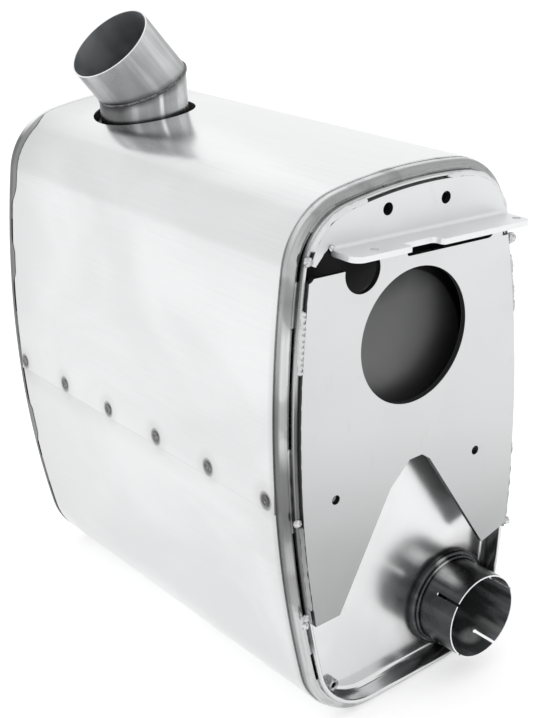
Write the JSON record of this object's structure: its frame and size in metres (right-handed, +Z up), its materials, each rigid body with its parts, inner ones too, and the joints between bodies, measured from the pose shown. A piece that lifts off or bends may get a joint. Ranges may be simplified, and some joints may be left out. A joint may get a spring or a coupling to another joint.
{
  "type": "exhaust muffler",
  "caption": "Upright box muffler with a bowed sheet jacket, dished end cap behind a mounting bracket with a shelf, slotted inlet socket low on the front and a mitred outlet on top.",
  "frame": {"origin": "centre of the jacket's flat underside, under the middle of the box", "axes": "+X to the right seen from the bracket, +Y from the bracket to the plain end, +Z up"},
  "size_m": [0.3435, 0.5997, 0.7266],
  "materials": {
    "jacket_steel": "bright cold-rolled stainless sheet",
    "rim_steel": "bright rolled edge",
    "cap_steel": "bright pressed sheet with heat tint by the welds",
    "shell_steel": "plain sheet",
    "tube_steel": "plain tube",
    "pipe_steel": "dark drawn tube",
    "outlet_steel": "satin tube",
    "weld_steel": "weld metal with dark heat tint",
    "bracket_paint": "light grey satin",
    "bracket_weld": "light grey over rippled beads",
    "wool": "mineral wool"
  },
  "bodies": {
    "root": {"outer_jacket": "jacket_steel", "jacket_spot_welds": "weld_steel", "front_rim_ring": "rim_steel", "rear_rim_ring": "rim_steel", "front_rim_welds": "weld_steel", "rear_rim_welds": "weld_steel", "insulation_mat": "wool", "inner_shell": "shell_steel", "front_end_cap": "cap_steel", "rear_end_cap": "cap_steel", "front_baffle": "shell_steel", "rear_baffle": "shell_steel", "inlet_tube": "tube_steel", "return_tube": "tube_steel", "outlet_tube": "tube_steel", "inlet_pipe": "pipe_steel", "inlet_collar": "pipe_steel", "inlet_weld": "weld_steel", "drain_boss": "cap_steel", "outlet_stub": "outlet_steel", "outlet_tip": "outlet_steel", "outlet_mitre_weld": "weld_steel", "outlet_base_weld": "weld_steel", "bracket_upper_plate": "bracket_paint", "bracket_lower_plate": "bracket_paint", "bracket_edge_strip": "bracket_paint", "bracket_edge_welds": "bracket_weld", "bracket_bead_welds": "bracket_weld", "shelf_end_weld": "bracket_weld", "transfer_tube_1": "tube_steel", "transfer_tube_2": "tube_steel"}
  },
  "joints": []
}
